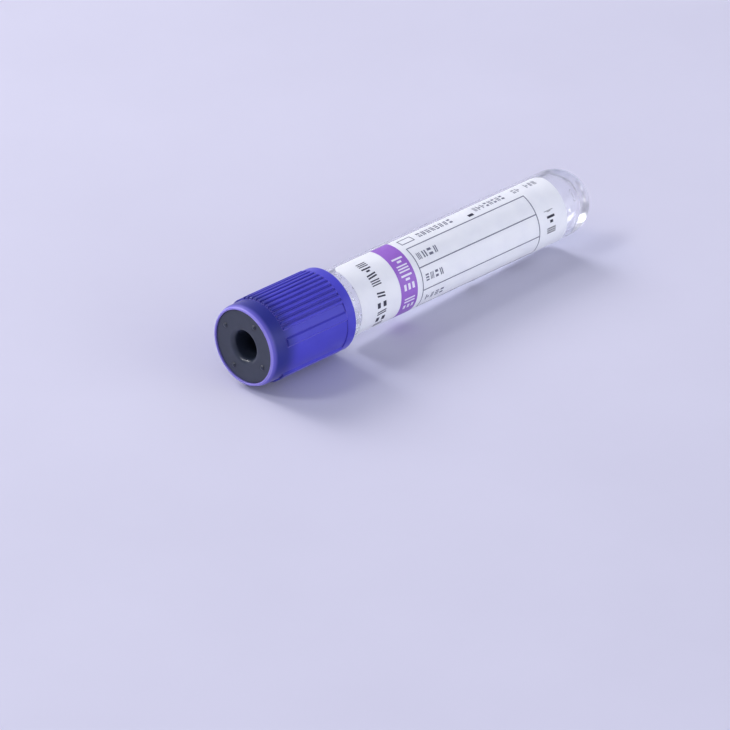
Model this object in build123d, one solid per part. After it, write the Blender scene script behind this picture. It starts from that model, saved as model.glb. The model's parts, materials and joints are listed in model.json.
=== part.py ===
"""Evacuated blood collection tube, 13 x 75 mm class, lying on its side with its closure on.

Every piece is drawn along its own axis first: X is the distance from the closure's needle
face towards the dome, and the angle round the axis is taken right-handed about +X from
straight up.  The whole tube is then laid down until a rib end of the cap and the dome both
touch the plane z = 0, which is how it comes to rest on a bench.
"""
from build123d import *
import math
import os

# ---------------------------------------------------------------- driving sizes (mm, degrees)
# Tube: one clear plastic moulding, a little slimmer at the dome than at the mouth.
TUBE_LENGTH = 75.0
TUBE_MOUTH_RADIUS = 6.45
TUBE_WALL = 0.9
TUBE_DRAFT = 0.06
DOME_TIP_WALL = 1.6
MOUTH_ROUND = 0.3
GATE_RADIUS = 1.5
GATE_HEIGHT = 0.4
GATE_ROUND = 0.15
GATE_DIMPLE_RADIUS = 0.9
GATE_DIMPLE_DEPTH = 0.25

# Cap: one moulding, with two ribbed panels and two smooth valleys between them.
CAP_LENGTH = 20.5
CAP_OVER_TUBE = 9.0
CAP_SKIRT_WALL = 1.05
CAP_GRIP_DRAFT = 0.25
CAP_FACE_WALL = 0.70
CAP_FACE_ROUND = 0.25
CAP_FACE_BREAK = 0.06
CAP_SHOULDER_LENGTH = 0.9
CAP_SHOULDER_DROP = 0.35
CAP_SHOULDER_ROUND = 1.5
CAP_MOUTH_BREAK = 0.15
COLLAR_LENGTH = 3.7
RIM_LENGTH = 2.1
RIM_HEIGHT = 0.27
RIM_ROUND = 0.2
RIB_HEIGHT = 0.40
RIB_PITCH = 7.5
RIBS_A_PANEL = 12
RIB_CREST_WIDTH = 0.42
RIB_ROOT_WIDTH = 0.70
RIB_CREST_ROUND = 0.14
RIB_END_ROUND = 0.38
RIB_SINK = 0.3
WIDE_GROOVE = 10.05
EDGE_RIB = 12.3
EDGE_RIB_FLANK = 0.3
PITCHES_OFF_CENTRE = 1.5

# Stopper: one rubber moulding, a head held in the cap and a plug held in the tube.
STOPPER_RECESS = 0.3
STOPPER_EDGE_ROUND = 0.15
WELL_RADIUS = 2.7
WELL_DEPTH = 6.5
WELL_LIP_ROUND = 0.9
PLUG_LENGTH = 7.0
PLUG_LEAD = 1.2
PLUG_LEAD_DROP = 0.3
PLUG_CAVITY_RADIUS = 3.0
PLUG_CAVITY_DEPTH = 3.6
PLUG_CAVITY_ROUND = 0.8
SNAP_HEIGHT = 0.3
SNAP_WIDTH = 1.0
SNAP_FROM_FACE = 5.0
PIP_RADIUS = 0.56
PIP_HEIGHT = 0.29
PIP_CIRCLE_RADIUS = 5.3
PIP_COUNT = 4
PIP_TURN = 27.7

# Label: a thin wrapped sheet with rounded corners that leaves half of the tube clear.
LABEL_THICKNESS = 0.08
LABEL_FROM_CAP = 2.8
LABEL_LENGTH = 53.35
LABEL_MIDDLE_TURN = 75.0
LABEL_ARC = 178.0
LABEL_CORNER_ROUND = 2.0

# Additive: sprayed droplets, dried on the wall below the closure.
DROPLET_COUNT = 44
DROPLET_ZONE_FROM_CAP = 0.6
DROPLET_ZONE_LENGTH = 25.0
DROPLET_SMALLEST = 0.20
DROPLET_LARGEST = 0.62
DROPLET_CONTACT_LIFT = 0.35
DROPLET_SIZE_STEP = 7.3
GOLDEN_ANGLE = 137.508

# Clearances.
PLUG_CLEARANCE = 0.03
SKIRT_CLEARANCE = 0.15
HEAD_CLEARANCE = 0.02
SEAT_GAP = 0.02
ADHESIVE_FILM = 0.02
DROPLET_GAP = 0.01

# How far a cutting shape runs past what it cuts.
CUT_OVERRUN = 1.0

# ---------------------------------------------------------------- sizes that follow from them
draft = math.radians(TUBE_DRAFT)
mouth_x = CAP_LENGTH - CAP_OVER_TUBE
tip_x = mouth_x + TUBE_LENGTH
ribs_start_x = COLLAR_LENGTH
ribs_end_x = CAP_LENGTH - RIM_LENGTH
skirt_radius = TUBE_MOUTH_RADIUS + SKIRT_CLEARANCE
cap_radius = skirt_radius + CAP_SKIRT_WALL
rim_radius = cap_radius + RIM_HEIGHT
crest_radius = cap_radius + RIB_HEIGHT
pocket_radius = cap_radius - CAP_FACE_WALL
shoulder_radius = cap_radius - CAP_SHOULDER_DROP
head_radius = pocket_radius - HEAD_CLEARANCE
panel_half_angle = (RIBS_A_PANEL - 1) * RIB_PITCH / 2 + RIB_PITCH / 2 + WIDE_GROOVE + EDGE_RIB


def outer_radius(x):
    """Outside radius of the tube's drafted wall at x."""
    return TUBE_MOUTH_RADIUS - (x - mouth_x) * math.tan(draft)


def bore_radius(x):
    """Inside radius of the tube's drafted wall at x."""
    return outer_radius(x) - TUBE_WALL


def dome_radius(mouth_radius, depth):
    """Radius of the sphere that ends a drafted wall tangentially at this depth."""
    return (mouth_radius - depth * math.tan(draft)) * math.cos(draft) / (1 - math.sin(draft))


def turned(section):
    """A solid turned about X from a section drawn in the upper half of the XY plane."""
    return revolve(section, axis=Axis.X, revolution_arc=360)


def rounded(section, corners):
    """The section with each corner (x, radius) rounded by its own amount."""
    for x, r, amount in corners:
        corner = section.vertices().sort_by_distance((x, r, 0))[0]
        section = fillet(corner, amount)
    return section


def outline(points):
    """A closed flat section through these (x, radius) points."""
    return make_face(Polyline(*points, close=True))


# ---------------------------------------------------------------- tube
def domed_bar(mouth_radius, depth, start_x):
    """A drafted bar with a round end: the tube's outside, or the space inside it."""
    radius = dome_radius(mouth_radius, depth)
    centre_x = mouth_x + depth - radius
    tangent_x = centre_x + radius * math.sin(draft)
    tangent_r = radius * math.cos(draft)
    start_r = mouth_radius - (start_x - mouth_x) * math.tan(draft)
    end_x = mouth_x + depth
    half_way = (90 - TUBE_DRAFT) / 2
    on_dome = (centre_x + radius * math.cos(math.radians(half_way)),
               radius * math.sin(math.radians(half_way)))
    edges = [Line((start_x, 0), (start_x, start_r)),
             Line((start_x, start_r), (tangent_x, tangent_r)),
             ThreePointArc((tangent_x, tangent_r), on_dome, (end_x, 0)),
             Line((end_x, 0), (start_x, 0))]
    return turned(make_face(edges))


def make_tube():
    """Clear round-bottomed tube with a small gate mark left on the tip of its dome."""
    gate_start = tip_x - GATE_RADIUS
    gate_end = tip_x + GATE_HEIGHT
    gate_section = outline([(gate_start, 0), (gate_start, GATE_RADIUS),
                            (gate_end, GATE_RADIUS), (gate_end, 0)])
    gate = turned(rounded(gate_section, [(gate_end, GATE_RADIUS, GATE_ROUND)]))
    dimple_radius = (GATE_DIMPLE_RADIUS ** 2 + GATE_DIMPLE_DEPTH ** 2) / (2 * GATE_DIMPLE_DEPTH)
    dimple = Pos(gate_end + dimple_radius - GATE_DIMPLE_DEPTH, 0, 0) * Sphere(dimple_radius)
    inside = domed_bar(TUBE_MOUTH_RADIUS - TUBE_WALL, TUBE_LENGTH - DOME_TIP_WALL, mouth_x - CUT_OVERRUN)
    tube = domed_bar(TUBE_MOUTH_RADIUS, TUBE_LENGTH, mouth_x) + gate - dimple - inside
    rim_edges = tube.edges().filter_by(GeomType.CIRCLE).group_by(Axis.X)[0]
    return fillet(rim_edges, MOUTH_ROUND)


# ---------------------------------------------------------------- label
def make_label():
    """Printed label: a sheet wrapped on the drafted wall, its corners rounded."""
    x_low = CAP_LENGTH + LABEL_FROM_CAP
    x_high = x_low + LABEL_LENGTH
    corners = ((x_low, 0), (x_high, 0), (x_high, LABEL_THICKNESS), (x_low, LABEL_THICKNESS))
    section = outline([(x, outer_radius(x) + ADHESIVE_FILM + skin) for x, skin in corners])
    sheet = revolve(Rot(90, 0, 0) * section, axis=Axis.X, revolution_arc=LABEL_ARC)
    label = Rot(LABEL_MIDDLE_TURN - LABEL_ARC / 2, 0, 0) * sheet
    reach = 2 * TUBE_MOUTH_RADIUS
    for end_x, inward in ((x_low, 1), (x_high, -1)):
        corner_angle = math.degrees(LABEL_CORNER_ROUND / outer_radius(end_x))
        for side in (-1, 1):
            turn = LABEL_MIDDLE_TURN + side * (LABEL_ARC / 2 - corner_angle)
            square = Pos(-inward * LABEL_CORNER_ROUND, -side * LABEL_CORNER_ROUND, reach / 2) * Box(
                2 * LABEL_CORNER_ROUND, 2 * LABEL_CORNER_ROUND, reach)
            disc = Pos(0, 0, reach / 2) * Cylinder(LABEL_CORNER_ROUND, reach)
            centre = Rot(turn, 0, 0) * Pos(end_x + inward * LABEL_CORNER_ROUND, 0, 0)
            label = label - centre * (square - disc)
    return label


# ---------------------------------------------------------------- additive
def make_additive():
    """Dried droplets on the tube's inner wall, spread by the golden angle."""
    x_low = CAP_LENGTH + DROPLET_ZONE_FROM_CAP
    hollow = domed_bar(TUBE_MOUTH_RADIUS - TUBE_WALL - DROPLET_GAP, TUBE_LENGTH - DOME_TIP_WALL, mouth_x)
    droplets = []
    for index in range(DROPLET_COUNT):
        share = (index + 0.5) / DROPLET_COUNT
        x = x_low + DROPLET_ZONE_LENGTH * share
        spread = 0.5 + 0.5 * math.sin(DROPLET_SIZE_STEP * index)
        size = DROPLET_SMALLEST + (DROPLET_LARGEST - DROPLET_SMALLEST) * spread ** 2
        lift = bore_radius(x) + DROPLET_CONTACT_LIFT * size
        ball = Rot(index * GOLDEN_ANGLE, 0, 0) * Pos(x, 0, lift) * Sphere(size)
        droplets += (ball & hollow).solids()
    return Compound(droplets)


# ---------------------------------------------------------------- stopper
def make_stopper():
    """Rubber stopper: a welled head, four locating pips and a plug hollowed underneath."""
    face_x = STOPPER_RECESS
    seat_x = mouth_x - SEAT_GAP
    plug_end = mouth_x + PLUG_LENGTH
    lead_x = plug_end - PLUG_LEAD
    well_end = face_x + WELL_DEPTH
    snap_low = SNAP_FROM_FACE - HEAD_CLEARANCE
    snap_high = SNAP_FROM_FACE + SNAP_WIDTH + HEAD_CLEARANCE
    groove_r = head_radius - SNAP_HEIGHT
    cavity_x = plug_end - PLUG_CAVITY_DEPTH
    section = outline([
        (well_end, 0), (well_end, WELL_RADIUS), (face_x, WELL_RADIUS), (face_x, head_radius),
        (snap_low, head_radius), (snap_low, groove_r), (snap_high, groove_r),
        (snap_high, head_radius), (seat_x, head_radius),
        (seat_x, bore_radius(seat_x) - PLUG_CLEARANCE),
        (lead_x, bore_radius(lead_x) - PLUG_CLEARANCE),
        (plug_end, bore_radius(plug_end) - PLUG_CLEARANCE - PLUG_LEAD_DROP),
        (plug_end, PLUG_CAVITY_RADIUS), (cavity_x, PLUG_CAVITY_RADIUS), (cavity_x, 0)])
    section = rounded(section, [
        (face_x, WELL_RADIUS, WELL_LIP_ROUND), (face_x, head_radius, STOPPER_EDGE_ROUND),
        (well_end, WELL_RADIUS, WELL_LIP_ROUND), (cavity_x, PLUG_CAVITY_RADIUS, PLUG_CAVITY_ROUND)])
    stopper = turned(section)
    for index in range(PIP_COUNT):
        turn = PIP_TURN + index * 360 / PIP_COUNT
        pip_place = Rot(turn, 0, 0) * Pos(face_x + PIP_RADIUS - PIP_HEIGHT, 0, PIP_CIRCLE_RADIUS)
        stopper += pip_place * Sphere(PIP_RADIUS)
    return stopper


# ---------------------------------------------------------------- cap
def rib_section(middle_angle, crest_width, root_width):
    """One rib seen from the end of the cap, with a rounded crest."""
    root_r = cap_radius - RIB_SINK
    over_r = crest_radius + RIB_HEIGHT / 2
    slope = (root_width - crest_width) / 2 / (crest_radius - cap_radius)
    half_root = root_width / 2 + slope * (cap_radius - root_r)
    half_over = crest_width / 2 - slope * (over_r - crest_radius)
    blank = make_face(Polyline((-half_root, root_r), (half_root, root_r),
                               (half_over, over_r), (-half_over, over_r), close=True))
    rib = blank & Circle(crest_radius)
    crest_corners = [corner for corner in rib.vertices() if corner.Y > cap_radius]
    return Rot(0, 0, middle_angle) * fillet(crest_corners, RIB_CREST_ROUND)


def panel_ribs(panel_turn):
    """The end view of one ribbed panel: narrow ribs, a wide groove and a broad rib each side."""
    narrow_span = (RIBS_A_PANEL - 1) * RIB_PITCH
    sections = []
    for index in range(RIBS_A_PANEL):
        angle = panel_turn - narrow_span / 2 + index * RIB_PITCH
        sections.append(rib_section(angle, RIB_CREST_WIDTH, RIB_ROOT_WIDTH))
    edge_root = math.radians(EDGE_RIB) * crest_radius
    edge_crest = edge_root - 2 * EDGE_RIB_FLANK
    for side in (-1, 1):
        angle = panel_turn + side * (panel_half_angle - EDGE_RIB / 2)
        sections.append(rib_section(angle, edge_crest, edge_root))
    return sections


def make_cap():
    """Moulded cap: shouldered face ring, smooth collar, ribbed grip and a plain rim."""
    grip_end_radius = cap_radius + (ribs_end_x - ribs_start_x) * math.tan(math.radians(CAP_GRIP_DRAFT))
    shell_section = outline([
        (0, pocket_radius), (0, shoulder_radius), (CAP_SHOULDER_LENGTH, cap_radius),
        (ribs_start_x, cap_radius),
        (ribs_end_x, grip_end_radius), (ribs_end_x, rim_radius), (CAP_LENGTH, rim_radius),
        (CAP_LENGTH, skirt_radius), (mouth_x, skirt_radius), (mouth_x, pocket_radius)])
    shell_section = rounded(shell_section, [
        (0, shoulder_radius, CAP_FACE_ROUND), (0, pocket_radius, CAP_FACE_BREAK),
        (CAP_SHOULDER_LENGTH, cap_radius, CAP_SHOULDER_ROUND),
        (CAP_LENGTH, rim_radius, RIM_ROUND), (ribs_end_x, rim_radius, CAP_MOUTH_BREAK),
        (CAP_LENGTH, skirt_radius, CAP_MOUTH_BREAK)])
    shell = turned(shell_section)

    panel_turns = [180 + PITCHES_OFF_CENTRE * RIB_PITCH, PITCHES_OFF_CENTRE * RIB_PITCH]
    end_view = Sketch() + [rib for turn in panel_turns for rib in panel_ribs(turn)]
    ribs = Pos(ribs_start_x, 0, 0) * extrude(Plane.YZ * end_view, amount=ribs_end_x - ribs_start_x)
    envelope_section = outline([
        (ribs_start_x, 0), (ribs_start_x, crest_radius),
        (ribs_end_x, crest_radius), (ribs_end_x, 0)])
    envelope = turned(rounded(envelope_section, [
        (ribs_start_x, crest_radius, RIB_END_ROUND),
        (ribs_end_x, crest_radius, crest_radius - rim_radius)]))
    ribs = ribs & envelope

    bead_r = pocket_radius - SNAP_HEIGHT
    bead_root_r = cap_radius - RIB_SINK
    bead = turned(outline([
        (SNAP_FROM_FACE, bead_root_r), (SNAP_FROM_FACE, bead_r),
        (SNAP_FROM_FACE + SNAP_WIDTH, bead_r), (SNAP_FROM_FACE + SNAP_WIDTH, bead_root_r)]))
    return shell + bead + ribs


# ---------------------------------------------------------------- lying at rest
def resting_place(pieces):
    """Where the tube lies: tilted so that the lowest rib's end and the dome touch the plane z = 0."""
    rib_x = ribs_end_x - (crest_radius - rim_radius)
    dome_r = dome_radius(TUBE_MOUTH_RADIUS, TUBE_LENGTH)
    dome_x = tip_x - dome_r
    span = dome_x - rib_x
    tilt = math.acos(dome_r / math.hypot(crest_radius, span)) - math.atan2(span, crest_radius)
    tilted = Rot(0, math.degrees(tilt), 0)
    box = Compound([tilted * piece for piece in pieces]).bounding_box()
    print(f"tilt {math.degrees(tilt):.3f} deg, needle face at x {-(box.min.X + box.max.X) / 2:.3f}, "
          f"axis height there {-box.min.Z:.3f} mm")
    return Pos(-(box.min.X + box.max.X) / 2, 0, -box.min.Z) * tilted


def main():
    """Builds each piece, lays the tube down and writes one STEP file a piece."""
    pieces = {
        "tube": make_tube(),
        "label": make_label(),
        "additive_droplets": make_additive(),
        "stopper": make_stopper(),
        "cap": make_cap(),
    }
    place = resting_place(list(pieces.values()))
    os.makedirs("parts", exist_ok=True)
    for name, piece in pieces.items():
        laid = place * piece
        export_step(laid, f"parts/{name}.step")
        box = laid.bounding_box()
        print(f"{name}: {len(laid.solids())} solids, {laid.volume:.2f} mm3, "
              f"x {box.min.X:.2f}..{box.max.X:.2f}, z {box.min.Z:.2f}..{box.max.Z:.2f}")


main()
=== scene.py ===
# %% [markdown]
# # A blood collection tube, lying on a pale bench
# The real object is five pieces: a clear moulded tube, a two-part closure (a ribbed plastic
# cap over a dark rubber stopper), a printed label wrapped round the tube, and a spray of
# dried additive on the inner wall.  The frame already holds each piece at its true size.
# This notebook keeps the frame's tube, cap and stopper and gives them their finish.  It
# models the label, its print and the droplets again, because those three need a finer
# surface than a frame carries.

# %% Load the frame
import json
import math

import bmesh
import bpy
from mathutils import Matrix, Vector

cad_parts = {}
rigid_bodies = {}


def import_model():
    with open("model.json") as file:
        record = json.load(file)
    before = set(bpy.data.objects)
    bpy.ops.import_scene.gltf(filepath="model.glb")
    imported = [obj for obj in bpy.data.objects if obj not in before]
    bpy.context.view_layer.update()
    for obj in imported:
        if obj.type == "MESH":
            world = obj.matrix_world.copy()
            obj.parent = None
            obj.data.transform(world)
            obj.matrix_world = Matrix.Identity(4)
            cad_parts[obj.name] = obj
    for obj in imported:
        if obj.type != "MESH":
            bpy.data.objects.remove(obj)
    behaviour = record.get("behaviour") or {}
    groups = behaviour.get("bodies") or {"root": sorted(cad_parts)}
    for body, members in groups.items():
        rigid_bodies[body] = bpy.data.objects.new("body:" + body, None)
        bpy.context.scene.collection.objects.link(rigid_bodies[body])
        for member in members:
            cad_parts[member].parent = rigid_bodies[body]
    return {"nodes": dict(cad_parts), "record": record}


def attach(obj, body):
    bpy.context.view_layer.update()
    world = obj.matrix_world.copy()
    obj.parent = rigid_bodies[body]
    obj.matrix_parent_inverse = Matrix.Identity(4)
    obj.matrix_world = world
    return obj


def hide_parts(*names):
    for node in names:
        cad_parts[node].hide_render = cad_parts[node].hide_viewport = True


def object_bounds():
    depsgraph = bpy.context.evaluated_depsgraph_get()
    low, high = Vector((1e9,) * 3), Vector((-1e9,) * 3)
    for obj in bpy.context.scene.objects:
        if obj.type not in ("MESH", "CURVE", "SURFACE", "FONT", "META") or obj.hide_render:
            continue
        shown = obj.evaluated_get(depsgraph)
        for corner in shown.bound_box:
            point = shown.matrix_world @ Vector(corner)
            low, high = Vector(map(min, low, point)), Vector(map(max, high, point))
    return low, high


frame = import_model()
cad_low, cad_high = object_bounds()
nodes = frame["nodes"]
record = frame["record"]
MM = 0.001
print("frame:", sorted(nodes), "from", tuple(cad_low), "to", tuple(cad_high))

# %% [markdown]
# ## The tube's own axes
# The tube lies tilted by the extra thickness of its cap, so nothing on it runs exactly along
# X.  Drawing every piece in the tilted frame would be awkward.  It is easier to draw in the
# tube's own axes, with x counted from the needle face, and to lay the result down with one
# matrix.  The frame's mounts give that matrix: one of them points along the tube.

# %% The tube's own axes
mounts = {mount["name"]: mount for mount in record["mounts"]}
along = Vector(mounts["bare_end"]["axis"]).normalized()
on_axis = Vector(mounts["needle_well"]["pos_m"])
to_face = Vector(mounts["cap_face"]["pos_m"]) - on_axis
needle_face = on_axis + along * along.dot(to_face)
tilt = math.atan2(-along.z, along.x)
lay_down = Matrix.Translation(needle_face) @ Matrix.Rotation(tilt, 4, "Y")
stand_straight = lay_down.inverted()


def own_points(node):
    """A frame node's points in the tube's own axes, as (x, distance from the axis, turn)."""
    points = [stand_straight @ vertex.co for vertex in nodes[node].data.vertices]
    return [(p.x, math.hypot(p.y, p.z), math.atan2(-p.y, p.z)) for p in points]


print(f"tilt {math.degrees(tilt):.2f} degrees, needle face at {tuple(needle_face)}")

# %% [markdown]
# ## Small helpers for node trees
# Materials and Geometry Nodes are both trees of nodes.  One helper that adds a node, sets
# its options and feeds its inputs keeps each tree short enough to read as a recipe.


# %% Node helpers
def add(tree, kind, inputs=None, **options):
    """Adds a node.  An input is fed by a value, or linked if it is given another socket."""
    node = tree.nodes.new(kind)
    for name, value in options.items():
        setattr(node, name, value)
    for key, value in (inputs or {}).items():
        if isinstance(value, bpy.types.NodeSocket):
            tree.links.new(value, node.inputs[key])
        else:
            node.inputs[key].default_value = value
    return node


def maths(tree, operation, *values, clamp=False):
    """The result socket of one Math node."""
    inputs = dict(enumerate(values))
    return add(tree, "ShaderNodeMath", inputs, operation=operation, use_clamp=clamp).outputs[0]


def remapped(tree, value, start, end, low=0.0, high=1.0, **options):
    """A value that runs from low to high as another one runs from start to end."""
    return add(tree, "ShaderNodeMapRange", {
        "Value": value, "From Min": start, "From Max": end, "To Min": low, "To Max": high},
        **options).outputs[0]


def blend_colours(tree, factor, first, second):
    """A blend of two colours.  A Mix node keeps its colour sockets at places 6, 7 and 2."""
    mix = add(tree, "ShaderNodeMix", {0: factor, 6: first, 7: second}, data_type="RGBA")
    return mix.outputs[2]


def painted(tree, base, *coats):
    """A base colour with more colours laid over it in turn, each through its own mask."""
    for mask, colour in coats:
        base = blend_colours(tree, mask, base, colour)
    return base


def new_group(name, kind, inputs, outputs):
    """A node group with named sockets.  Returns the tree, its input node and its output node."""
    tree = bpy.data.node_groups.new(name, kind)
    for direction, sockets in (("INPUT", inputs), ("OUTPUT", outputs)):
        for socket_name, socket_type, *start in sockets:
            socket = tree.interface.new_socket(
                name=socket_name, in_out=direction, socket_type="NodeSocket" + socket_type)
            if start:
                socket.default_value = start[0]
    return tree, tree.nodes.new("NodeGroupInput"), tree.nodes.new("NodeGroupOutput")


def linear(red, green, blue):
    """A colour picked on screen, 0 to 255, as the light values that Blender works in."""
    def decode(value):
        value /= 255
        return value / 12.92 if value <= 0.04045 else ((value + 0.055) / 1.055) ** 2.4
    return decode(red), decode(green), decode(blue), 1.0


# %% [markdown]
# ## Effects that several finishes share
# Four things happen again and again on these surfaces.  Moulded edges are never sharp, so
# they catch a thin line of light.  That line is partly shading and partly a painted highlight
# laid through an edge mask.  Moulded skin has a very fine grain, which breaks up the gloss.
# Handled surfaces have faint, broad smudges.  Grooves and corners get less light, and a mask of
# them carries painted shade.  Three shader node groups give these, because one group makes both
# the grain and the smudges.  Each is built once.  A group only hands out masks, values and
# normals, and every shader stays in its own material.


# %% Shared effect: soft edges
def soft_edge_group():
    """Rounds the shading of sharp edges, and masks where that happens."""
    tree, given, result = new_group(
        "soft edges", "ShaderNodeTree",
        [("Radius", "Float", 0.0001), ("Gain", "Float", 4.0)],
        [("Edge", "Float"), ("Normal", "Vector")])
    rounded = add(tree, "ShaderNodeBevel", {"Radius": given.outputs["Radius"]}, samples=6)
    flat = add(tree, "ShaderNodeNewGeometry")
    agreement = add(tree, "ShaderNodeVectorMath", {
        0: rounded.outputs[0], 1: flat.outputs["Normal"]}, operation="DOT_PRODUCT")
    turned = maths(tree, "SUBTRACT", 1.0, agreement.outputs["Value"])
    edge = maths(tree, "MULTIPLY", turned, given.outputs["Gain"], clamp=True)
    tree.links.new(edge, result.inputs["Edge"])
    tree.links.new(rounded.outputs[0], result.inputs["Normal"])
    return tree


# %% Shared effect: moulded grain and handling smudges
def grain_group():
    """Fine grain as a height, and broad soft patches, both fixed to the object."""
    tree, given, result = new_group(
        "grain and smudges", "ShaderNodeTree",
        [("Grain size", "Float", 0.0001), ("Patch size", "Float", 0.004)],
        [("Height", "Float"), ("Patches", "Float")])
    place = add(tree, "ShaderNodeTexCoord").outputs["Object"]
    fine = add(tree, "ShaderNodeTexNoise", {
        "Vector": place, "Scale": maths(tree, "DIVIDE", 1.0, given.outputs["Grain size"]),
        "Detail": 3.0, "Roughness": 0.6})
    broad = add(tree, "ShaderNodeTexNoise", {
        "Vector": place, "Scale": maths(tree, "DIVIDE", 1.0, given.outputs["Patch size"]),
        "Detail": 4.0, "Roughness": 0.55})
    patches = remapped(tree, broad.outputs["Fac"], 0.35, 0.65)
    tree.links.new(fine.outputs["Fac"], result.inputs["Height"])
    tree.links.new(patches, result.inputs["Patches"])
    return tree


# %% Shared effect: hollows
def hollow_group():
    """Masks grooves and corners, where the piece shuts out much of its surroundings, for painted
    shade.
    """
    tree, given, result = new_group(
        "hollows", "ShaderNodeTree",
        [("Reach", "Float", 0.001), ("Shallow", "Float", 0.9), ("Deep", "Float", 0.5)],
        [("Hollow", "Float")])
    openness = add(tree, "ShaderNodeAmbientOcclusion", {"Distance": given.outputs["Reach"]},
                   samples=8, only_local=True).outputs["AO"]
    hollow = remapped(tree, openness, given.outputs["Shallow"], given.outputs["Deep"])
    tree.links.new(hollow, result.inputs["Hollow"])
    return tree


soft_edges = soft_edge_group()
grain = grain_group()
hollows = hollow_group()
print("shared shader groups:", soft_edges.name, grain.name, hollows.name)


# %% [markdown]
# ## A material to start each finish from
# Every finish below is a Principled shader with its own numbers.  These helpers open one,
# place the shared groups in it, and fade a colour along the tube, so that each finish is only
# what is special to it.


# %% Start of a finish
def start_finish(name, settings):
    """A new material whose Principled shader has these settings: (material, tree, shader)."""
    material = bpy.data.materials.new(name)
    material.use_nodes = True
    shader = material.node_tree.nodes["Principled BSDF"]
    for socket_name, value in settings.items():
        shader.inputs[socket_name].default_value = value
    return material, material.node_tree, shader


def place_group(tree, group, values):
    """A shared group in a material, with its own values."""
    node = add(tree, "ShaderNodeGroup", node_tree=group)
    for name, value in values.items():
        node.inputs[name].default_value = value
    return node


def bumped(tree, height, strength, distance, normal=None):
    """A normal bent by a height, on top of another normal if one is given."""
    inputs = {"Height": height, "Strength": strength, "Distance": distance}
    if normal is not None:
        inputs["Normal"] = normal
    return add(tree, "ShaderNodeBump", inputs).outputs[0]


def link_all(tree, shader, sources):
    """Feeds several of a shader's inputs."""
    for socket_name, source in sources.items():
        tree.links.new(source, shader.inputs[socket_name])


def scaled(tree, mask, amount):
    """A mask made weaker."""
    return maths(tree, "MULTIPLY", mask, amount)


def varied(tree, mask, low, high):
    """A value that runs from low to high as the mask runs from 0 to 1."""
    return remapped(tree, mask, 0.0, 1.0, low, high)


def from_needle_face(tree):
    """Distance along the tube from the needle face, read from the piece's own coordinates."""
    place = add(tree, "ShaderNodeTexCoord").outputs["Object"]
    turned = add(tree, "ShaderNodeMapping", {
        "Vector": place, "Location": tuple(stand_straight.translation),
        "Rotation": (0.0, -tilt, 0.0)}, vector_type="POINT")
    return add(tree, "ShaderNodeSeparateXYZ", {0: turned.outputs[0]}).outputs[0]


def faded(tree, value, start, end, low, high):
    """A smooth change from low to high as the value runs from start to end."""
    return remapped(tree, value, start, end, low, high, interpolation_type="SMOOTHSTEP")


def give_finish(node, material):
    """Puts a finish on one of the frame's own shapes."""
    mesh = nodes[node].data
    mesh.materials.clear()
    mesh.materials.append(material)
    print(f"{node}: {len(mesh.polygons)} faces in {material.name}")


# %% [markdown]
# ## The cap's blue-violet plastic
# The cap is moulded in a soft, slightly milky plastic.  Light enters its thin edges and
# leaves again nearby, so edges look paler.  Subsurface scattering gives a little of that, the
# edge mask adds a painted highlight, a pale line along ribs and rims, and a little sheen lifts
# what is seen at a glancing angle.  The rest is colour laid over the body colour, from the
# bottom coat to the top one: painted shade where dark rubber lies straight behind the wall and
# no light shines through it, painted shade in the foot of each groove, a painted glow on the
# thin ring round the stopper, and a paler painted highlight on that ring's own rim.

# %% Cap colours, and where they lie from the needle face
CAP_BODY = (linear(68, 65, 190), linear(73, 70, 198))
# Painted shade: the wall is darker over the rubber, where no light shines through it from behind.
CAP_SHADE_OVER_RUBBER = linear(31, 39, 130)
# Painted shade in the foot of each groove.
CAP_GROOVE_SHADE = linear(26, 23, 140)
# Painted glow on the thin ring round the stopper.
CAP_RING_GLOW = linear(132, 122, 230)
# Painted highlight along the ring's own rim.
CAP_RIM_HIGHLIGHT = linear(176, 164, 246)
# Painted highlight: a pale line along ribs and rims.
CAP_EDGE_HIGHLIGHT = linear(146, 130, 240)
RUBBER_ENDS = (3.0 * MM, 7.0 * MM)
GROOVES_BEGIN = (2.0 * MM, 3.0 * MM)
RING_ENDS = (0.3 * MM, 1.4 * MM)
RIM_ENDS = (0.15 * MM, 0.45 * MM)


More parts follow.
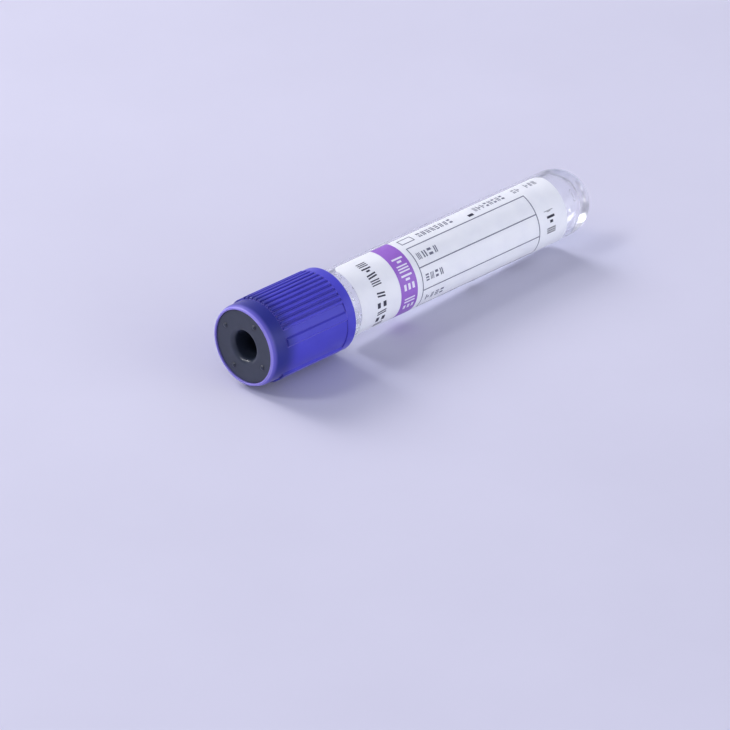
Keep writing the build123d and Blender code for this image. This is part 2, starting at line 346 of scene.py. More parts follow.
# %% Cap plastic
def cap_plastic():
    """Satin violet-blue plastic with painted light on edges and ring, painted shade in grooves and
    over rubber.
    """
    material, tree, shader = start_finish("cap plastic", {
        "Specular IOR Level": 0.3, "Subsurface Weight": 0.25,
        "Subsurface Radius": (0.6, 0.5, 1.0), "Subsurface Scale": 0.4 * MM,
        "Sheen Weight": 0.6, "Sheen Roughness": 0.35, "Sheen Tint": (0.60, 0.52, 1.0, 1.0)})
    edges = place_group(tree, soft_edges, {"Radius": 0.20 * MM, "Gain": 3.0})
    skin = place_group(tree, grain, {"Grain size": 0.09 * MM, "Patch size": 5 * MM})
    feet = place_group(tree, hollows, {"Reach": 0.6 * MM, "Shallow": 0.82, "Deep": 0.45})
    place = from_needle_face(tree)
    behind_ring = faded(tree, place, *GROOVES_BEGIN, 0.0, 0.8)
    # Coats over the body colour: painted shade over the rubber and in the groove feet, a painted
    # glow on the ring, painted highlights on its rim and on edges.
    colour = painted(
        tree, blend_colours(tree, skin.outputs["Patches"], *CAP_BODY),
        (faded(tree, place, *RUBBER_ENDS, 1.0, 0.0), CAP_SHADE_OVER_RUBBER),
        (maths(tree, "MULTIPLY", feet.outputs["Hollow"], behind_ring), CAP_GROOVE_SHADE),
        (faded(tree, place, *RING_ENDS, 0.6, 0.0), CAP_RING_GLOW),
        (faded(tree, place, *RIM_ENDS, 0.65, 0.0), CAP_RIM_HIGHLIGHT),
        (scaled(tree, edges.outputs["Edge"], 0.75), CAP_EDGE_HIGHLIGHT))
    link_all(tree, shader, {
        "Base Color": colour,
        "Roughness": varied(tree, skin.outputs["Patches"], 0.40, 0.48),
        "Normal": bumped(tree, skin.outputs["Height"], 0.06, 0.02 * MM, edges.outputs["Normal"])})
    return material


give_finish("cap", cap_plastic())

# %% [markdown]
# ## The stopper's rubber
# Butyl rubber is a dull slate grey with a soft shine.  It has more grain than the cap, and its
# raised edges are paler, partly rubbed and partly a painted highlight.  Little light gets into
# the needle well or round the feet of the pips, so both get painted shade through the same
# hollow mask, placed twice, because a mask's reach decides how large a hollow it finds.

# %% Rubber colours
RUBBER_BODY = (linear(46, 54, 69), linear(54, 61, 78))
# Painted shade deep in the needle well and round the feet of the pips.
RUBBER_WELL_SHADE = linear(6, 9, 15)
RUBBER_FOOT_SHADE = linear(16, 20, 30)
# Paler edges: partly rubbed wear, partly a painted highlight.
RUBBER_EDGE_WEAR_AND_HIGHLIGHT = linear(132, 140, 156)


# %% Stopper rubber
def stopper_rubber():
    """Dull slate-grey rubber with a fine moulded grain and painted shade in its well and round its
    pips.
    """
    material, tree, shader = start_finish("stopper rubber", {"Specular IOR Level": 0.55})
    edges = place_group(tree, soft_edges, {"Radius": 0.15 * MM, "Gain": 2.5})
    skin = place_group(tree, grain, {"Grain size": 0.12 * MM, "Patch size": 2.5 * MM})
    well = place_group(tree, hollows, {"Reach": 4.0 * MM, "Shallow": 0.80, "Deep": 0.45})
    feet = place_group(tree, hollows, {"Reach": 0.8 * MM, "Shallow": 0.97, "Deep": 0.78})
    # Coats over the body colour: painted shade in the well and round the pip feet, then edges made
    # paler by wear and a painted highlight.
    colour = painted(
        tree, blend_colours(tree, skin.outputs["Patches"], *RUBBER_BODY),
        (scaled(tree, well.outputs["Hollow"], 0.9), RUBBER_WELL_SHADE),
        (scaled(tree, feet.outputs["Hollow"], 0.8), RUBBER_FOOT_SHADE),
        (scaled(tree, edges.outputs["Edge"], 0.5), RUBBER_EDGE_WEAR_AND_HIGHLIGHT))
    link_all(tree, shader, {
        "Base Color": colour,
        "Roughness": varied(tree, skin.outputs["Patches"], 0.30, 0.38),
        "Normal": bumped(tree, skin.outputs["Height"], 0.12, 0.03 * MM, edges.outputs["Normal"])})
    return material


give_finish("stopper", stopper_rubber())

# %% [markdown]
# ## The clear tube
# The tube is a thick clear wall, so what is seen through it is bent twice.  Full
# transmission on a Principled shader does that, and a little roughness softens its
# highlights.  A moulded wall is never quite even, which a very weak, broad bump shows as slow
# waves in the reflections.  Real clear plastic also lets lamp light through to the label and
# the bench.  A path tracer finds such light slowly, so a plain transparent shader takes over
# for shadow rays and for diffuse bounces.


# %% Clear materials
def clear_finish(name, colour, ior, roughness, waves, passed):
    """A clear solid that bends light for the eye and lets lamp light through."""
    material, tree, shader = start_finish(name, {
        "Base Color": colour, "IOR": ior, "Roughness": roughness, "Transmission Weight": 1.0})
    skin = place_group(tree, grain, {"Grain size": 0.4 * MM, "Patch size": 3 * MM})
    link_all(tree, shader, {"Normal": bumped(tree, skin.outputs["Patches"], waves, 0.02 * MM)})
    ray = add(tree, "ShaderNodeLightPath")
    passing = maths(tree, "MAXIMUM", ray.outputs["Is Shadow Ray"], ray.outputs["Is Diffuse Ray"])
    through = add(tree, "ShaderNodeBsdfTransparent", {"Color": passed})
    mix = add(tree, "ShaderNodeMixShader", {
        0: passing, 1: shader.outputs[0], 2: through.outputs[0]})
    tree.links.new(mix.outputs[0], tree.nodes["Material Output"].inputs["Surface"])
    return material


tube_clear = clear_finish(
    "clear tube", (0.985, 0.99, 1.0, 1.0), ior=1.5, roughness=0.08, waves=0.06,
    passed=(0.93, 0.94, 0.96, 1.0))
droplet_clear = clear_finish(
    "dried droplets", (1.0, 1.0, 1.0, 1.0), ior=1.38, roughness=0.0, waves=0.3,
    passed=(0.95, 0.95, 0.97, 1.0))
give_finish("tube", tube_clear)

# %% [markdown]
# ## Wrapping flat artwork round the tube
# A label is printed flat and then wrapped.  The same order works here.  The sheet and its
# print are drawn flat, with x along the tube, y round it and z above its skin, and one
# Geometry Nodes tree bends them all.  The tree needs the label's radius at both ends, because
# the tube is slightly slimmer at the dome, and it ends by laying the result down.

# %% Sizes read from the frame's label
LABEL_THICKNESS = 0.08 * MM
END_ZONE = 3 * MM
label_points = own_points("label")
label_start = min(x for x, r, turn in label_points)
label_end = max(x for x, r, turn in label_points)
radius_at_start = max(r for x, r, turn in label_points if x < label_start + END_ZONE)
radius_at_end = max(r for x, r, turn in label_points if x > label_end - END_ZONE)
label_low_turn = min(turn for x, r, turn in label_points)
label_high_turn = max(turn for x, r, turn in label_points)
label_middle_turn = (label_low_turn + label_high_turn) / 2
mean_radius = (radius_at_start + radius_at_end) / 2
label_width = (label_high_turn - label_low_turn) * mean_radius
print(f"label: {(label_end - label_start) / MM:.1f} by {label_width / MM:.1f} mm flat")


def round_to(turn_degrees):
    """Flat y of a turn round the tube, counted in degrees from straight up."""
    return (math.radians(turn_degrees) - label_middle_turn) * mean_radius


# %% Geometry Nodes: wrap a flat sheet
def wrap_tree():
    """Bends flat geometry round the drafted tube and lays it down in the frame."""
    tree, given, result = new_group(
        "wrap round the tube", "GeometryNodeTree",
        [("Geometry", "Geometry"), ("Start", "Float"), ("End", "Float"), ("Start radius", "Float"),
         ("End radius", "Float"), ("Middle turn", "Float"), ("Tilt", "Vector"),
         ("Needle face", "Vector"), ("Material", "Material")],
        [("Geometry", "Geometry")])
    place = add(tree, "GeometryNodeInputPosition").outputs[0]
    flat = add(tree, "ShaderNodeSeparateXYZ", {0: place})
    x, y, above = flat.outputs
    skin = remapped(tree, x, given.outputs["Start"], given.outputs["End"],
                    given.outputs["Start radius"], given.outputs["End radius"], clamp=False)
    average = maths(tree, "MULTIPLY", 0.5, maths(
        tree, "ADD", given.outputs["Start radius"], given.outputs["End radius"]))
    turn = maths(tree, "ADD", given.outputs["Middle turn"], maths(tree, "DIVIDE", y, average))
    reach = maths(tree, "ADD", skin, above)
    backwards_sine = maths(tree, "MULTIPLY", -1.0, maths(tree, "SINE", turn))
    sideways = maths(tree, "MULTIPLY", reach, backwards_sine)
    upwards = maths(tree, "MULTIPLY", reach, maths(tree, "COSINE", turn))
    bent = add(tree, "ShaderNodeCombineXYZ", {0: x, 1: sideways, 2: upwards})
    wrapped = add(tree, "GeometryNodeSetPosition", {
        "Geometry": given.outputs["Geometry"], "Position": bent.outputs[0]})
    laid = add(tree, "GeometryNodeTransform", {
        "Geometry": wrapped.outputs[0], "Translation": given.outputs["Needle face"],
        "Rotation": given.outputs["Tilt"]})
    outwards = add(tree, "GeometryNodeFlipFaces", {"Mesh": laid.outputs[0]})
    real = add(tree, "GeometryNodeRealizeInstances", {0: outwards.outputs[0]})
    coloured = add(tree, "GeometryNodeSetMaterial", {
        "Geometry": real.outputs[0], "Material": given.outputs["Material"]})
    tree.links.new(coloured.outputs[0], result.inputs[0])
    return tree


wrap = wrap_tree()
print("geometry tree:", wrap.name)


# %% Helpers for finished pieces
def use_tree(piece, tree, values):
    """Puts a Geometry Nodes tree on a piece, with its named inputs set by identifier."""
    modifier = piece.modifiers.new(tree.name, "NODES")
    modifier.node_group = tree
    for item in tree.interface.items_tree:
        if item.item_type == "SOCKET" and item.in_out == "INPUT" and item.name in values:
            modifier[item.identifier] = values[item.name]


def wrap_values(material):
    """The wrap tree's inputs for this label."""
    return {"Start": label_start, "End": label_end, "Start radius": radius_at_start,
            "End radius": radius_at_end, "Middle turn": label_middle_turn,
            "Tilt": (0.0, tilt, 0.0), "Needle face": tuple(needle_face), "Material": material}


def finished(piece, smooth_angle=30):
    """The piece as a plain mesh: modifiers applied, faces outwards, smooth but for its edges."""
    bpy.context.view_layer.update()
    evaluated = piece.evaluated_get(bpy.context.evaluated_depsgraph_get())
    mesh = bpy.data.meshes.new_from_object(evaluated)
    piece.modifiers.clear()
    piece.data = mesh
    mesh.name = piece.name
    tidy = bmesh.new()
    tidy.from_mesh(mesh)
    bmesh.ops.recalc_face_normals(tidy, faces=tidy.faces)
    tidy.to_mesh(mesh)
    tidy.free()
    mesh.shade_smooth()
    mesh.set_sharp_from_angle(angle=math.radians(smooth_angle))
    print(f"{piece.name}: {len(mesh.polygons)} faces")
    return piece


def new_piece(name, shape):
    """A new object whose mesh is taken from a bmesh."""
    mesh = bpy.data.meshes.new(name)
    shape.to_mesh(mesh)
    shape.free()
    piece = bpy.data.objects.new(name, mesh)
    bpy.context.scene.collection.objects.link(piece)
    return piece


# %% [markdown]
# ## Label stock
# The label is thin coated paper.  Up close it is not one white: fibres show faintly, and the
# surface is a little uneven where it was pressed on, which breaks its soft shine.  Ink is so
# thin that it shows the same fibres, so paper and inks share one recipe.

# %% Paper sizes
FIBRES_PER_METRE = (1500.0, 6000.0, 6000.0)
FIBRE_DEPTH = 0.25
PRESSED_WAVES_PER_METRE = 220.0
PRESSED_DEPTH = 2.0


# %% Paper and ink
def paper_like(name, colour, tint, roughness, fibre_strength, glow=0.0):
    """Coated paper, or a film of ink on it, with the paper's fibres showing through."""
    material, tree, shader = start_finish(name, {
        "IOR": 1.45, "Subsurface Weight": glow, "Subsurface Radius": (1.0, 1.0, 1.0),
        "Subsurface Scale": 0.2 * MM})
    skin = place_group(tree, grain, {"Grain size": 0.11 * MM, "Patch size": 3.5 * MM})
    place = add(tree, "ShaderNodeTexCoord").outputs["Object"]
    along_fibres = add(tree, "ShaderNodeMapping", {"Vector": place, "Scale": FIBRES_PER_METRE})
    fibres = add(tree, "ShaderNodeTexNoise", {
        "Vector": along_fibres.outputs[0], "Scale": 1.0, "Detail": 4.0, "Roughness": 0.7})
    waves = add(tree, "ShaderNodeTexNoise", {
        "Vector": place, "Scale": PRESSED_WAVES_PER_METRE, "Detail": 1.0})
    relief = maths(tree, "ADD", scaled(tree, fibres.outputs["Fac"], FIBRE_DEPTH),
                   scaled(tree, waves.outputs["Fac"], PRESSED_DEPTH))
    link_all(tree, shader, {
        "Base Color": blend_colours(tree, skin.outputs["Patches"], colour, tint),
        "Roughness": varied(tree, fibres.outputs["Fac"], *roughness),
        "Normal": bumped(tree, relief, fibre_strength, 0.02 * MM)})
    return material


label_paper = paper_like(
    "label paper", linear(243, 245, 246), linear(238, 240, 243), (0.38, 0.55), 0.5, glow=0.4)
violet_ink = paper_like(
    "violet ink", linear(160, 108, 206), linear(152, 100, 198), (0.30, 0.42), 0.4)
black_ink = paper_like(
    "black ink", linear(38, 38, 54), linear(48, 48, 66), (0.35, 0.50), 0.3)
grey_ink = paper_like(
    "grey ink", linear(98, 100, 118), linear(110, 112, 130), (0.35, 0.50), 0.3)
white_ink = paper_like(
    "white ink", linear(240, 236, 248), linear(232, 228, 244), (0.35, 0.50), 0.3)
inks = (violet_ink, black_ink, grey_ink, white_ink)
print("inks on the", label_paper.name + ":", [ink.name for ink in inks])

# %% [markdown]
# ## The label sheet
# A rounded rectangle, drawn as columns across the width so that it can bend.  Along the tube
# it stays straight, so it needs no cuts that way.  Solidify gives the sheet its thickness
# after it is wrapped, with its top on the label's outer radius.

# %% Label sheet
LABEL_CORNER = 2.0 * MM
FINE_STEP = 0.12 * MM


def rounded_sheet(low_x, high_x, low_y, high_y, corner, step):
    """A flat rounded rectangle in columns across y."""
    shape = bmesh.new()
    count = math.ceil((high_y - low_y) / step)
    rows = []
    for index in range(count + 1):
        y = low_y + (high_y - low_y) * index / count
        into_corner = max(0.0, corner - min(y - low_y, high_y - y))
        inset = corner - math.sqrt(max(corner ** 2 - into_corner ** 2, 0.0))
        rows.append([shape.verts.new((x, y, 0.0)) for x in (low_x + inset, high_x - inset)])
    for (a, b), (c, d) in zip(rows, rows[1:]):
        shape.faces.new((a, b, d, c))
    return shape


sheet = new_piece("label_sheet", rounded_sheet(
    label_start, label_end, -label_width / 2, label_width / 2, LABEL_CORNER, FINE_STEP))
use_tree(sheet, wrap, wrap_values(label_paper))
thicken = sheet.modifiers.new("paper thickness", "SOLIDIFY")
thicken.thickness = LABEL_THICKNESS
thicken.offset = -1.0
finished(sheet)
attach(sheet, "tube_body")
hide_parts("label")

# %% [markdown]
# ## Stamps for printed marks
# The print must read as print, without being any real lettering.  Each "character" is a
# small plain figure of posts, bars and blocks.  The figures are drawn one unit across, so
# that a row can stretch each to its own width and height.


# %% Stamps
def block(left, right, bottom, top):
    """The corners of an upright rectangle."""
    return [(left, bottom), (right, bottom), (right, top), (left, top)]


def slash(left, lean, width):
    """The corners of a leaning stroke as tall as the figure."""
    return [(left, -0.5), (left + width, -0.5), (left + width + lean, 0.5), (left + lean, 0.5)]


STAMP_FIGURES = [
    [block(-0.42, -0.14, -0.5, 0.5), block(0.14, 0.42, -0.5, 0.5)],
    [block(-0.42, 0.42, low, low + 0.22) for low in (-0.5, -0.11, 0.28)],
    [slash(-0.45, 0.2, 0.25), slash(0.0, 0.2, 0.25)],
    [block(left, left + 0.32, low, low + 0.4) for left in (-0.42, 0.10) for low in (-0.5, 0.1)],
    [block(-0.42, -0.14, -0.5, 0.5), block(0.10, 0.42, -0.2, 0.2)],
    [block(-0.42, 0.42, low, low + 0.34) for low in (-0.5, 0.16)],
    [slash(0.20, -0.2, 0.25), slash(-0.25, -0.2, 0.25)],
    [block(left, left + 0.18, -0.5, 0.5) for left in (-0.45, -0.09, 0.27)],
]


def make_stamps():
    """One small flat object for each figure, one unit across, in a collection of their own."""
    drawer = bpy.data.collections.new("stamps")
    for number, figure in enumerate(STAMP_FIGURES):
        shape = bmesh.new()
        for corners in figure:
            shape.faces.new([shape.verts.new((x, y, 0.0)) for x, y in corners])
        mesh = bpy.data.meshes.new(f"stamp {number}")
        shape.to_mesh(mesh)
        shape.free()
        drawer.objects.link(bpy.data.objects.new(f"stamp {number}", mesh))
    return drawer


stamps = make_stamps()


# %% Geometry Nodes: a printed row
def row_tree():
    """A row of stamps picked at random, each a little narrower than its place.

    A Random Value node keeps its float limits at places 2 and 3, and its whole ones at 4 and 5.
    """
    tree, given, result = new_group(
        "printed row", "GeometryNodeTree",
        [("Geometry", "Geometry"), ("Stamps", "Collection"), ("Count", "Int"),
         ("First", "Vector"), ("Step", "Vector"), ("Size", "Vector"), ("Turn", "Vector"),
         ("Narrowest", "Float"), ("Bend cuts", "Int"), ("Seed", "Int")],
        [("Geometry", "Geometry")])
    line = add(tree, "GeometryNodeMeshLine", {
        "Count": given.outputs["Count"], "Start Location": given.outputs["First"],
        "Offset": given.outputs["Step"]}, mode="OFFSET", count_mode="TOTAL")
    shapes = add(tree, "GeometryNodeCollectionInfo", {
        "Collection": given.outputs["Stamps"], "Separate Children": True, "Reset Children": True})
    pick = add(tree, "FunctionNodeRandomValue", {
        4: 0, 5: len(STAMP_FIGURES) - 1, "Seed": given.outputs["Seed"]}, data_type="INT")
    width = add(tree, "FunctionNodeRandomValue", {
        2: given.outputs["Narrowest"], 3: 1.0, "Seed": given.outputs["Seed"]}, data_type="FLOAT")
    narrow = add(tree, "ShaderNodeCombineXYZ", {0: width.outputs[1], 1: 1.0, 2: 1.0})
    size = add(tree, "ShaderNodeVectorMath", {0: given.outputs["Size"], 1: narrow.outputs[0]},
               operation="MULTIPLY")
    row = add(tree, "GeometryNodeInstanceOnPoints", {
        "Points": line.outputs[0], "Instance": shapes.outputs[0], "Pick Instance": True,
        "Instance Index": pick.outputs[2], "Rotation": given.outputs["Turn"],
        "Scale": size.outputs[0]})
    real = add(tree, "GeometryNodeRealizeInstances", {0: row.outputs[0]})
    cut = add(tree, "GeometryNodeSubdivideMesh", {
        "Mesh": real.outputs[0], "Level": given.outputs["Bend cuts"]})
    both = add(tree, "GeometryNodeJoinGeometry")
    tree.links.new(given.outputs["Geometry"], both.inputs[0])
    tree.links.new(cut.outputs[0], both.inputs[0])
    tree.links.new(both.outputs[0], result.inputs[0])
    return tree


printed_row = row_tree()
print("geometry tree:", printed_row.name)

# %% [markdown]
# ## Laying out the print
# The layout is a table of plain rectangles and rows of stamps, placed by distance from the
# needle face in millimetres and by turn round the tube in degrees.  Everything in one colour
# of ink is one piece.  A row that reads round the tube steps in y, and one that reads along
# it steps in x.

# %% Print layout
INK_LIFT = 0.004 * MM
INK_FILM = 0.008 * MM
BEND_CUTS = 3
NARROWEST_STAMP = 0.75
LINE = 0.2 * MM
BAND = (33.3 * MM, 37.5 * MM)
FORM = (38.8 * MM, 69.4 * MM)
FORM_TURNS = (18.4, 55.9, 94.0, 132.0)
SYMBOL_BOX = (63.6 * MM, 69.9 * MM, 138.5, 152.5)
SMALL_BOX = (39.0 * MM, 42.3 * MM, -6.0, 8.0)


def add_rectangle(shape, low_x, high_x, low_y, high_y):
    """Adds a flat rectangle to a shape, cut into columns that can bend."""
    count = max(1, math.ceil((high_y - low_y) / FINE_STEP))
    rows = []
    for index in range(count + 1):
        y = low_y + (high_y - low_y) * index / count
        rows.append([shape.verts.new((x, y, 0.0)) for x in (low_x, high_x)])
    for (a, b), (c, d) in zip(rows, rows[1:]):
        shape.faces.new((a, b, d, c))


def frame_lines(low_x, high_x, low_y, high_y):
    """Four thin rectangles that frame an area without overlapping."""
    inside = (low_y + LINE, high_y - LINE)
    return [(low_x, high_x, low_y, low_y + LINE), (low_x, high_x, high_y - LINE, high_y),
            (low_x, low_x + LINE, *inside), (high_x - LINE, high_x, *inside)]


def form_rectangles():
    """The form's frame, its two ruled lines, and the framed boxes of two small symbols."""
    low, high = FORM
    top, first, second, bottom = (round_to(turn) for turn in FORM_TURNS)
    boxes = frame_lines(low, high, top - LINE / 2, bottom + LINE / 2)
    boxes += [(low + LINE, high - LINE, y - LINE / 2, y + LINE / 2) for y in (first, second)]
    for left, right, box_top, box_bottom in (SYMBOL_BOX, SMALL_BOX):
        boxes += frame_lines(left, right, round_to(box_top), round_to(box_bottom))
    return boxes


def round_row(low_x, high_x, first_turn, last_turn, count, seed, fill=0.86):
    """A row between two distances that reads round the tube, filling the turns given."""
    step = (round_to(last_turn) - round_to(first_turn)) / count
    return {"Count": count, "First": ((low_x + high_x) / 2, round_to(first_turn) + step / 2, 0.0),
            "Step": (0.0, step, 0.0), "Size": (step * fill, high_x - low_x, 1.0),
            "Turn": (0.0, 0.0, math.radians(90)), "Seed": seed}


def along_row(low_x, high_x, low_turn, high_turn, count, seed, fill=0.84):
    """A row between two turns that reads along the tube, filling the length given."""
    step = (high_x - low_x) / count
    low, high = round_to(low_turn), round_to(high_turn)
    return {"Count": count, "First": (low_x + step / 2, (low + high) / 2, 0.0),
            "Step": (step, 0.0, 0.0), "Size": (step * fill, high - low, 1.0),
            "Turn": (0.0, 0.0, 0.0), "Seed": seed}


BLACK_RECTANGLES = [
    (54.0 * MM, 55.7 * MM, round_to(139.5), round_to(159.5)),
    (55.9 * MM, 57.2 * MM, round_to(6.5), round_to(12.0)),
]
BLACK_ROWS = [
    round_row(27.3 * MM, 29.5 * MM, 4.0, 54.0, 4, 3),
    round_row(27.6 * MM, 29.5 * MM, 60.5, 76.5, 1, 8),
    round_row(27.3 * MM, 29.5 * MM, 78.5, 132.0, 4, 12),
    round_row(71.3 * MM, 73.5 * MM, 57.0, 60.5, 1, 4),
    round_row(71.6 * MM, 73.5 * MM, 63.5, 82.0, 1, 7),
    round_row(71.3 * MM, 73.5 * MM, 84.0, 99.0, 1, 2),
]
WHITE_ROWS = [
    round_row(34.2 * MM, 36.8 * MM, 22.5, 83.5, 4, 5),
    round_row(34.2 * MM, 36.8 * MM, 92.5, 118.0, 2, 11),
]
GREY_ROWS = [
    along_row(39.5 * MM, 45.1 * MM, 32.0, 44.0, 4, 2),
    along_row(39.6 * MM, 44.4 * MM, 69.0, 80.5, 4, 6),
    along_row(39.8 * MM, 44.8 * MM, 106.5, 117.5, 4, 9),
    along_row(43.5 * MM, 52.5 * MM, -5.0, 7.0, 8, 14),
    along_row(58.0 * MM, 66.0 * MM, -5.0, 7.0, 8, 15),
    along_row(68.2 * MM, 70.2 * MM, -5.0, 6.0, 2, 16),
    along_row(71.5 * MM, 74.5 * MM, -5.0, 6.0, 3, 18),
    along_row(64.2 * MM, 69.3 * MM, 141.0, 150.0, 6, 17),
]


# %% Print the label
def print_ink(name, ink, rectangles, rows, lift=INK_LIFT):
    """One piece of ink: its rectangles and rows of stamps, wrapped, with a film's thickness."""
    shape = bmesh.new()
    for rectangle in rectangles:
        add_rectangle(shape, *rectangle)
    for vertex in shape.verts:
        vertex.co.z = lift
    piece = new_piece(name, shape)
    for row in rows:
        x, y, _ = row["First"]
        use_tree(piece, printed_row, {
            **row, "First": (x, y, lift), "Stamps": stamps, "Narrowest": NARROWEST_STAMP,
            "Bend cuts": BEND_CUTS})
    use_tree(piece, wrap, wrap_values(ink))
    film = piece.modifiers.new("film of ink", "SOLIDIFY")
    film.thickness = INK_FILM
    film.offset = 1.0
    finished(piece)
    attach(piece, "tube_body")
    return piece


print_ink("violet_band", violet_ink, [(*BAND, -label_width / 2, label_width / 2)], [])
print_ink("black_print", black_ink, BLACK_RECTANGLES, BLACK_ROWS)
print_ink("grey_print", grey_ink, form_rectangles(), GREY_ROWS)
print_ink("white_print", white_ink, [], WHITE_ROWS, lift=INK_LIFT + 2 * INK_FILM)
for stamp in list(stamps.objects):
    bpy.data.objects.remove(stamp)
bpy.data.collections.remove(stamps)

# %% [markdown]
# ## Dried droplets of additive
# The additive is sprayed in as a mist and dries where it lands: many fine droplets, few
# large ones, thickest just below the closure.  Geometry Nodes scatter a low dome over a
# strip of the inner wall, and keep the domes a little apart.  A high power on the random
# size makes large droplets rare.

# %% Sizes read from the frame's droplets
droplet_points = own_points("additive_droplets")
spray_start = min(x for x, r, turn in droplet_points)
spray_end = max(x for x, r, turn in droplet_points)
wall_radius = max(r for x, r, turn in droplet_points)
WALL_GAP = 0.012 * MM
DROPLET_SPACING = 0.38 * MM
DROPLETS_PER_SQUARE_METRE = 1.0e6
SMALLEST_DROPLET = 0.09 * MM
LARGEST_DROPLET = 0.52 * MM
LARGE_ARE_RARE = 5.0
SHARE_AT_END = 0.15
print(f"spray: {(spray_end - spray_start) / MM:.1f} mm long on a {wall_radius / MM:.2f} mm bore")


# %% Geometry Nodes: scatter droplets
def droplet_tree():
    """Scatters low domes over a surface, most of them fine, fading out along x."""
    tree, given, result = new_group(
        "droplets", "GeometryNodeTree",
        [("Geometry", "Geometry"), ("Droplet", "Object"), ("Density", "Float"),
         ("Spacing", "Float"), ("Smallest", "Float"), ("Largest", "Float"), ("Rarity", "Float"),
         ("Spray start", "Float"), ("Spray end", "Float"), ("Share at end", "Float"),
         ("Seed", "Int"), ("Tilt", "Vector"), ("Needle face", "Vector"), ("Material", "Material")],
        [("Geometry", "Geometry")])
    place = add(tree, "GeometryNodeInputPosition").outputs[0]
    along_wall = add(tree, "ShaderNodeSeparateXYZ", {0: place}).outputs["X"]
    share = remapped(tree, along_wall, given.outputs["Spray start"],
                     given.outputs["Spray end"], 1.0, given.outputs["Share at end"])
    spread = add(tree, "GeometryNodeDistributePointsOnFaces", {
        "Mesh": given.outputs["Geometry"], "Distance Min": given.outputs["Spacing"],
        "Density Max": given.outputs["Density"], "Density Factor": share,
        "Seed": given.outputs["Seed"]}, distribute_method="POISSON")
    chance = add(tree, "FunctionNodeRandomValue", {"Seed": given.outputs["Seed"]},
                 data_type="FLOAT")
    rare = maths(tree, "POWER", chance.outputs[1], given.outputs["Rarity"])
    size = varied(tree, rare, given.outputs["Smallest"], given.outputs["Largest"])
    dome = add(tree, "GeometryNodeObjectInfo", {"Object": given.outputs["Droplet"]})
    dotted = add(tree, "GeometryNodeInstanceOnPoints", {
        "Points": spread.outputs["Points"], "Instance": dome.outputs["Geometry"],
        "Rotation": spread.outputs["Rotation"], "Scale": size})
    laid = add(tree, "GeometryNodeTransform", {
        "Geometry": dotted.outputs[0], "Translation": given.outputs["Needle face"],
        "Rotation": given.outputs["Tilt"]})
    real = add(tree, "GeometryNodeRealizeInstances", {0: laid.outputs[0]})
    coloured = add(tree, "GeometryNodeSetMaterial", {
        "Geometry": real.outputs[0], "Material": given.outputs["Material"]})
    tree.links.new(coloured.outputs[0], result.inputs[0])
    return tree


# %% Droplet shape and the strip that is sprayed
def round_ring(radius, sides):
    """The corners of a regular ring, as pairs."""
    turns = [2 * math.pi * side / sides for side in range(sides)]
    return [(radius * math.cos(turn), radius * math.sin(turn)) for turn in turns]


def dome_shape(sides, rings, height):
    """A closed low dome on a flat base, one unit in radius."""
    shape = bmesh.new()
    loops = []
    for ring in range(rings):
        angle = math.pi / 2 * ring / rings
        level = height * math.sin(angle)
        corners = round_ring(math.cos(angle), sides)
        loops.append([shape.verts.new((x, y, level)) for x, y in corners])
    top = shape.verts.new((0.0, 0.0, height))
    for lower, upper in zip(loops, loops[1:]):
        for side in range(sides):
            after = (side + 1) % sides
            shape.faces.new((lower[side], lower[after], upper[after], upper[side]))
    for side in range(sides):
        shape.faces.new((loops[-1][side], loops[-1][(side + 1) % sides], top))
    shape.faces.new(list(reversed(loops[0])))
    return shape


def wall_strip(start, end, radius, columns):
    """A strip of the inner wall, in the tube's own axes, whose faces look inwards."""
    shape = bmesh.new()
    corners = round_ring(radius, columns)
    rings = [[shape.verts.new((x, y, z)) for y, z in corners] for x in (start, end)]
    for side in range(columns):
        after = (side + 1) % columns
        shape.faces.new((rings[0][side], rings[0][after], rings[1][after], rings[1][side]))
    return shape


# %% Droplets
dome = new_piece("droplet shape", dome_shape(sides=10, rings=4, height=0.62))
droplets = new_piece(
    "droplets", wall_strip(spray_start, spray_end, wall_radius - WALL_GAP, columns=120))
facing_out = sum(face.normal.y * face.center.y + face.normal.z * face.center.z
                 for face in droplets.data.polygons)
if facing_out > 0:
    droplets.data.flip_normals()
use_tree(droplets, droplet_tree(), {
    "Droplet": dome, "Density": DROPLETS_PER_SQUARE_METRE, "Spacing": DROPLET_SPACING,
    "Smallest": SMALLEST_DROPLET, "Largest": LARGEST_DROPLET, "Rarity": LARGE_ARE_RARE,
    "Spray start": spray_start, "Spray end": spray_end, "Share at end": SHARE_AT_END, "Seed": 4,
    "Tilt": (0.0, tilt, 0.0), "Needle face": tuple(needle_face), "Material": droplet_clear})
finished(droplets, smooth_angle=70)
bpy.data.objects.remove(dome)
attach(droplets, "tube_body")
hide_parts("additive_droplets")

# %% [markdown]
# ## Bench and light
# The tube lies on a pale lavender bench with a dull gloss.  A large lamp behind it gives the
# broad soft shadow that falls forwards.  A small weak one at the side lights the needle face
# and gives it crisp highlights.  A wide low one in front and the even world light fill the
# shadow in, at a level where a colour renders about as it is written.  A lamp that is equally
# bright all over shows as a hard disc in clear plastic, so each lamp fades smoothly from its
# centre to its rim.  Faded like that it would give only 0.3 of its light, and it is made
# brighter by as much.

# %% Bench
BENCH_SIZE = 8.0
BENCH_DROP = 0.02 * MM


def bench_finish():
    """Pale lavender board with a dull gloss."""
    material, tree, shader = start_finish("bench", {"Specular IOR Level": 0.1})
    skin = place_group(tree, grain, {"Grain size": 0.3 * MM, "Patch size": 60 * MM})
    patches = skin.outputs["Patches"]
    link_all(tree, shader, {
        "Base Color": blend_colours(tree, patches, linear(208, 207, 223), linear(211, 210, 226)),
        "Roughness": varied(tree, patches, 0.46, 0.52)})
    return material


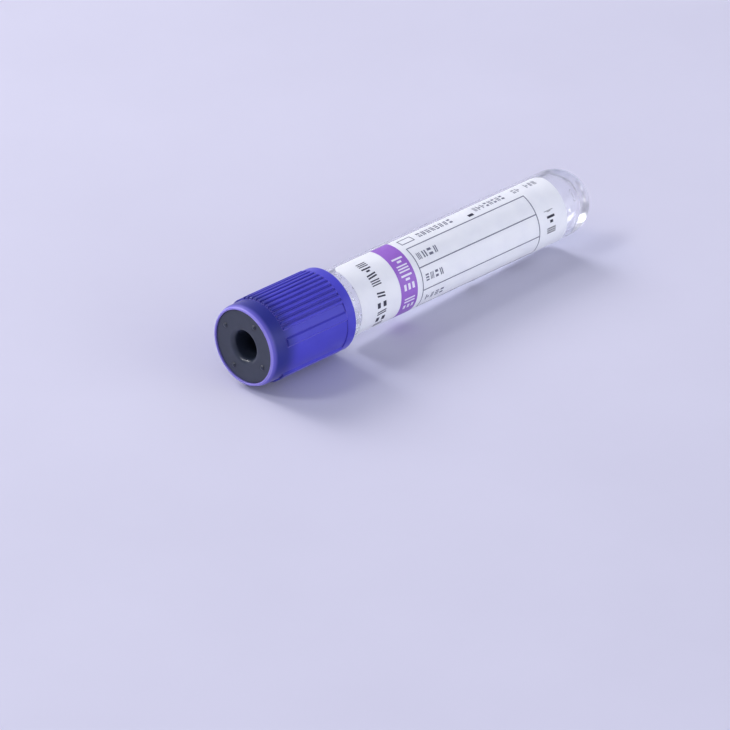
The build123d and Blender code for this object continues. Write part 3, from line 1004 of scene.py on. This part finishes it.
def make_bench():
    """A wide flat board just under the lowest point of the object."""
    shape = bmesh.new()
    bmesh.ops.create_grid(shape, x_segments=1, y_segments=1, size=BENCH_SIZE / 2)
    bmesh.ops.translate(shape, verts=shape.verts, vec=(0.0, 0.0, cad_low.z - BENCH_DROP))
    board = new_piece("bench", shape)
    board.data.materials.append(bench_finish())
    return board


make_bench()
print("bench:", BENCH_SIZE, "m wide")

# %% Lamps and world
FADED_SHARE = 0.3
LAMP_CENTRE = (0.5, 0.5, 0.0)
LAMP_RADIUS = 0.5


def soften_lamp(data):
    """Fades a round lamp smoothly from its centre to its rim, with its total light as it was."""
    data.use_nodes = True
    tree = data.node_tree
    place = add(tree, "ShaderNodeNewGeometry").outputs["Parametric"]
    from_centre = add(tree, "ShaderNodeVectorMath", {0: place, 1: LAMP_CENTRE},
                      operation="DISTANCE")
    strength = faded(tree, from_centre.outputs["Value"], 0.0, LAMP_RADIUS, 1 / FADED_SHARE, 0.0)
    tree.links.new(strength, tree.nodes["Emission"].inputs["Strength"])


def area_lamp(name, place, target, size, watts, colour):
    """A round soft lamp aimed at a point."""
    data = bpy.data.lights.new(name, "AREA")
    data.shape = "DISK"
    soften_lamp(data)
    data.size = size
    data.energy = watts
    data.color = colour
    lamp = bpy.data.objects.new(name, data)
    lamp.location = place
    lamp.rotation_euler = (Vector(target) - Vector(place)).to_track_quat("-Z", "Y").to_euler()
    bpy.context.scene.collection.objects.link(lamp)


middle = (cad_low + cad_high) / 2
area_lamp("key", (-0.10, 0.98, 0.68), middle, 1.00, 10.8, (1.0, 0.975, 0.985))
area_lamp("side", (-0.70, 0.45, 0.74), middle, 0.36, 2.8, (0.97, 0.985, 1.0))
area_lamp("fill", (0.35, -1.05, 0.34), middle, 1.60, 7.4, (0.96, 0.98, 1.0))

world = bpy.data.worlds.new("soft room")
bpy.context.scene.world = world
world.use_nodes = True
background = world.node_tree.nodes["Background"]
background.inputs["Color"].default_value = linear(218, 220, 246)
background.inputs["Strength"].default_value = 0.50
print("lamps:", [light.name for light in bpy.data.lights], "and", world.name)

# %% [markdown]
# ## How often light may bounce
# A ray that enters the thick clear wall near its outline is turned back inside it many
# times before it gets out.  Cycles' usual limits cut it off early, and the tube gets a black
# rim that real clear plastic doesn't have.  Longer paths remove it.

# %% Light paths
LONG_PATH = 32
cycles = bpy.context.scene.cycles
for limit in ("max_bounces", "glossy_bounces", "transmission_bounces", "transparent_max_bounces"):
    setattr(cycles, limit, LONG_PATH)
print("light paths:", cycles.max_bounces, "bounces")

# %% [markdown]
# ## Camera
# A long lens from about a metre away looks down at thirty degrees over the needle face, so
# the tube runs away to the upper right.  The aim point is given in the tube's own axes,
# counted from the needle face, so it moves with the object.

# %% Camera
CAMERA_DISTANCE = 1.21
CAMERA_LENS = 338.0
CAMERA_AZIMUTH = math.radians(-45.17)
CAMERA_ELEVATION = math.radians(30.02)
FACE_LEFT_OF_CENTRE = 21.57 * MM
FACE_ABOVE_CENTRE = 3.18 * MM

level = math.cos(CAMERA_ELEVATION)
backwards = Vector((math.sin(CAMERA_AZIMUTH) * level, -math.cos(CAMERA_AZIMUTH) * level,
                    math.sin(CAMERA_ELEVATION)))
turn_camera = backwards.to_track_quat("Z", "Y")
aim = needle_face + turn_camera @ Vector((FACE_LEFT_OF_CENTRE, -FACE_ABOVE_CENTRE, 0.0))
camera = bpy.data.objects.new("camera", bpy.data.cameras.new("camera"))
camera.data.lens = CAMERA_LENS
camera.data.sensor_width = 36.0
camera.data.clip_start = 0.01
camera.data.clip_end = 20.0
camera.rotation_mode = "QUATERNION"
camera.rotation_quaternion = turn_camera
camera.location = aim + backwards * CAMERA_DISTANCE
bpy.context.scene.collection.objects.link(camera)
bpy.context.scene.camera = camera
bpy.context.scene.view_settings.view_transform = "Standard"
print("camera at", tuple(camera.location))
